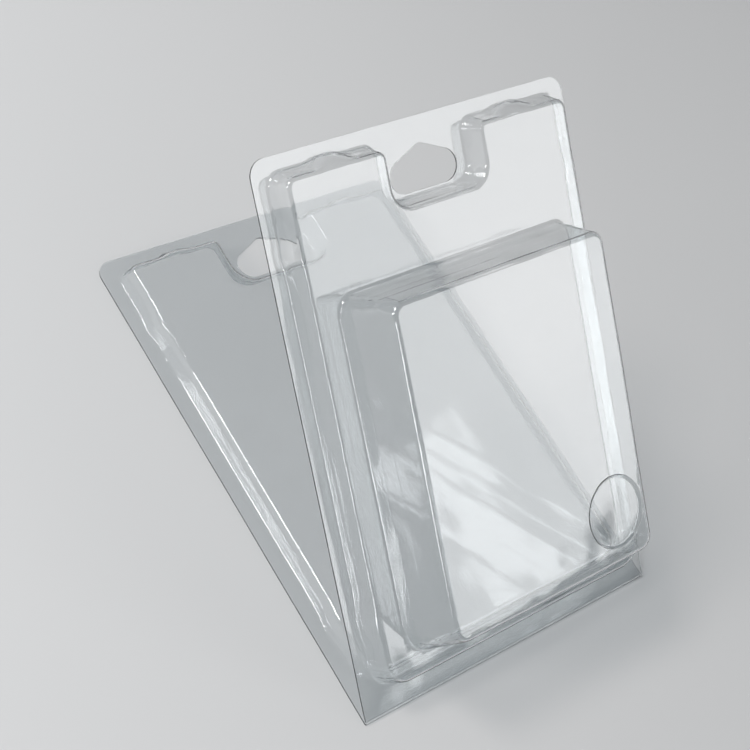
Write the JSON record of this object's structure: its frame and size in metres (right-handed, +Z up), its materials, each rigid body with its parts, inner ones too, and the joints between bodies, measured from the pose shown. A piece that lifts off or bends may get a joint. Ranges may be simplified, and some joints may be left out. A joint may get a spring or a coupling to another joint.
{
  "type": "plastic clamshell pack",
  "caption": "Clear thermoformed clamshell pack: a front shell with a deep bubble folds shut on a back shell with a shallow plug, and a peaked hang hole runs through both.",
  "frame": {"origin": "bottom centre of the box round the pack as it lies on its back shell, standing ajar", "axes": "+X across the pack, +Y from the fold to the hang hole end of the back shell, +Z up"},
  "size_m": [0.1288, 0.1806, 0.1077],
  "materials": {
    "clear_sheet": "clear, glossy thermoformed sheet"
  },
  "bodies": {
    "back": {"back_shell": "clear_sheet"},
    "front": {"front_shell": "clear_sheet"}
  },
  "joints": [
    {"name": "fold_hinge", "type": "hinge", "parent": "back", "child": "front", "pos_m": [0, -0.08972, 0.00055], "axis": [1, 0, 0], "range_deg": [-35.6, 144.4]}
  ]
}
